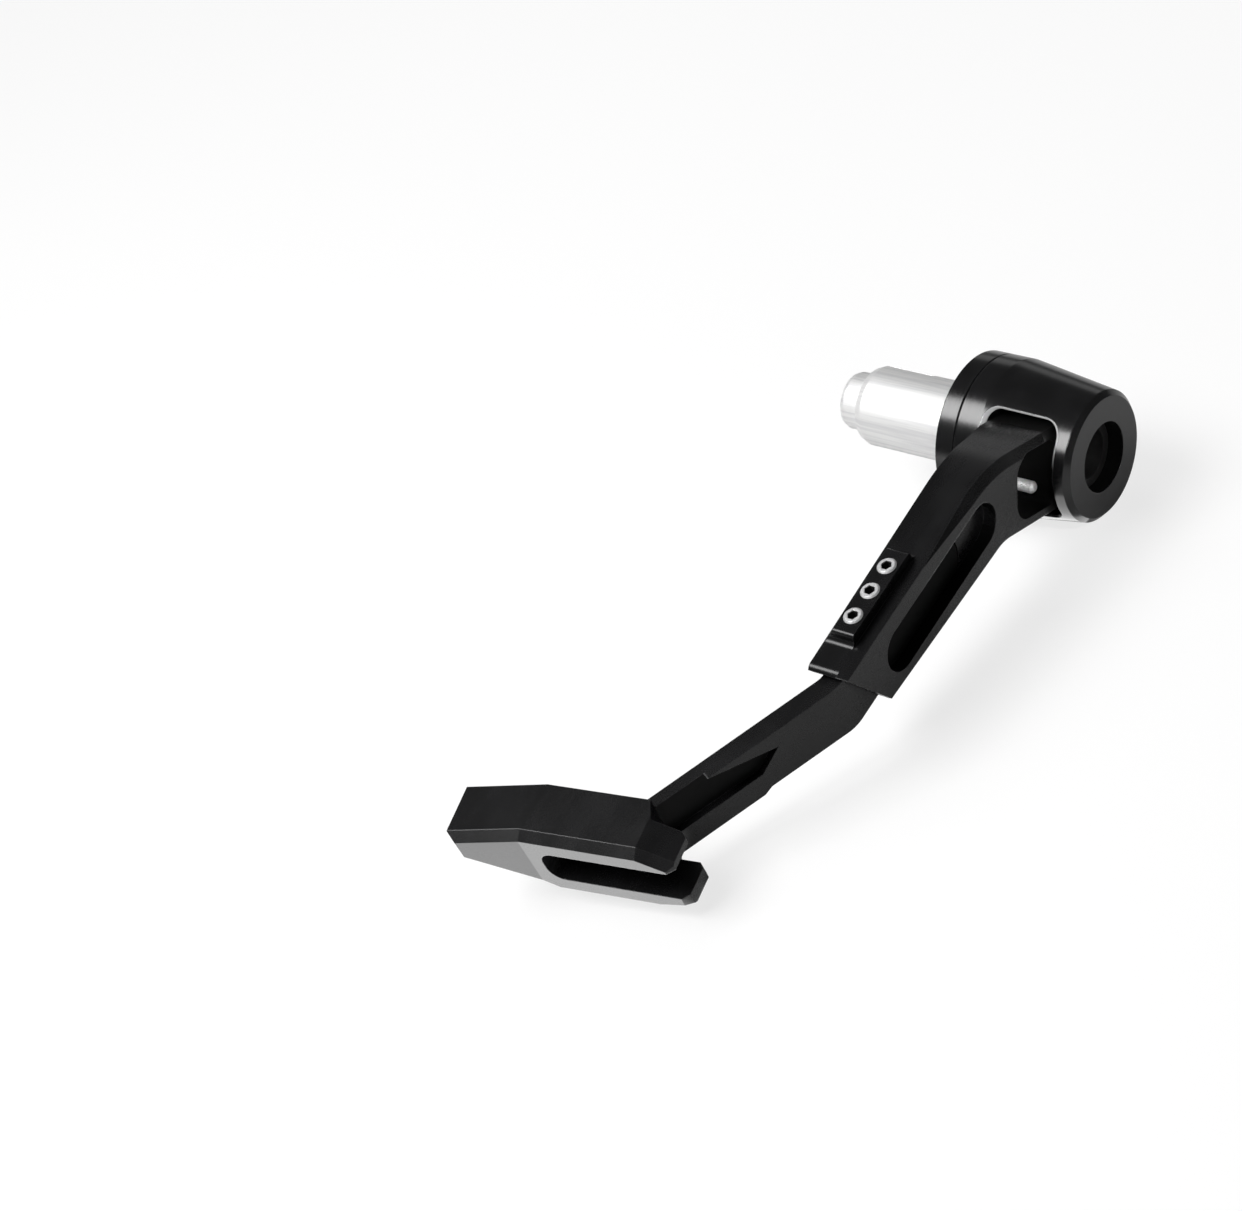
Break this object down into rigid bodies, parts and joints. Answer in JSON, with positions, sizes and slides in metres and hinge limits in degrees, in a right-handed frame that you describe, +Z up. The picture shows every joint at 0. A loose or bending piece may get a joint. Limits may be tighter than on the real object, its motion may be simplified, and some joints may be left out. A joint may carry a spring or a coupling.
{
  "type": "brake lever guard",
  "caption": "Handlebar-end lever guard: expanding bar plug, turned end cap, swivelling slotted arm and a slide-out bent tip with a slotted foot.",
  "frame": {"origin": "centre of the base ring's inboard face, on the bar axis", "axes": "+X along the bar axis, outboard; -Y forward, along the straight arm; +Z up, the set-screw side"},
  "size_m": [0.0651, 0.153, 0.0426],
  "materials": {
    "black_anodised": "black anodised, satin gloss",
    "bare_aluminium": "turned, bright",
    "dark_bush": "matt black",
    "bright_steel": "bright"
  },
  "bodies": {
    "mount_body": {"expander_plug": "bare_aluminium", "wedge_nut": "bare_aluminium", "base_ring": "black_anodised", "bar_end_cap": "black_anodised", "pivot_bush": "dark_bush", "stop_pin": "bright_steel", "clamp_bolt": "bright_steel", "bolt_washer": "bright_steel"},
    "arm_body": {"guard_arm": "black_anodised", "arm_set_screws": "bright_steel"},
    "tip_body": {"guard_tip": "black_anodised"}
  },
  "joints": [
    {"name": "arm_swivel", "type": "hinge", "parent": "mount_body", "child": "arm_body", "pos_m": [0, 0, 0], "axis": [-1, 0, 0], "range_deg": [-8, 5]},
    {"name": "tip_slide", "type": "slide", "parent": "arm_body", "child": "tip_body", "axis": [0, -1, 0], "range_m": [0, 0.015]}
  ]
}
